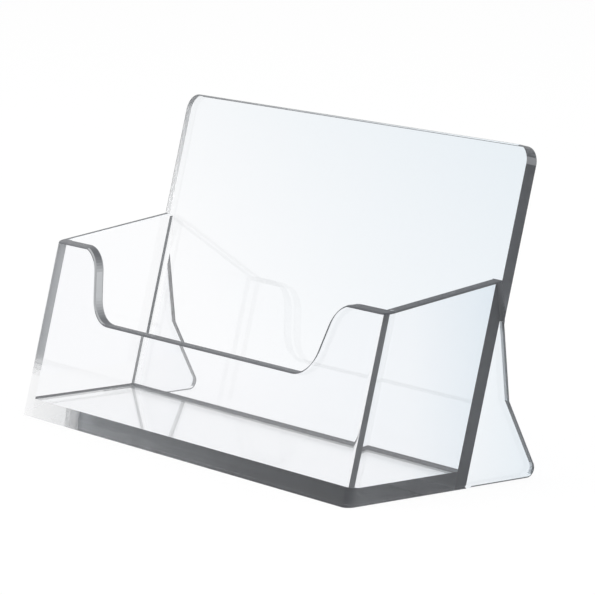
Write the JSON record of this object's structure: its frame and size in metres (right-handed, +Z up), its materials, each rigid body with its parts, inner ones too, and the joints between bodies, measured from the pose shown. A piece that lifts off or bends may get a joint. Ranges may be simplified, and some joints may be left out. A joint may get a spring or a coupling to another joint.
{
  "type": "desktop card and leaflet holder",
  "caption": "Clear landscape desktop holder for cards or small leaflets: a leaning pocket with a flared finger scoop, a tall rounded back panel and side plates that end in prop fins.",
  "frame": {"origin": "on the table, below the middle of the holder's overall box", "axes": "+X to the holder's left-to-right width as seen from the front, +Y from the front panel towards the back panel, +Z up"},
  "size_m": [0.1, 0.0416, 0.0578],
  "materials": {
    "clear_sheet": "clear, polished faces and edges"
  },
  "bodies": {
    "root": {"base_plate": "clear_sheet", "front_panel": "clear_sheet", "back_panel": "clear_sheet", "left_side_plate": "clear_sheet", "right_side_plate": "clear_sheet"}
  },
  "joints": []
}
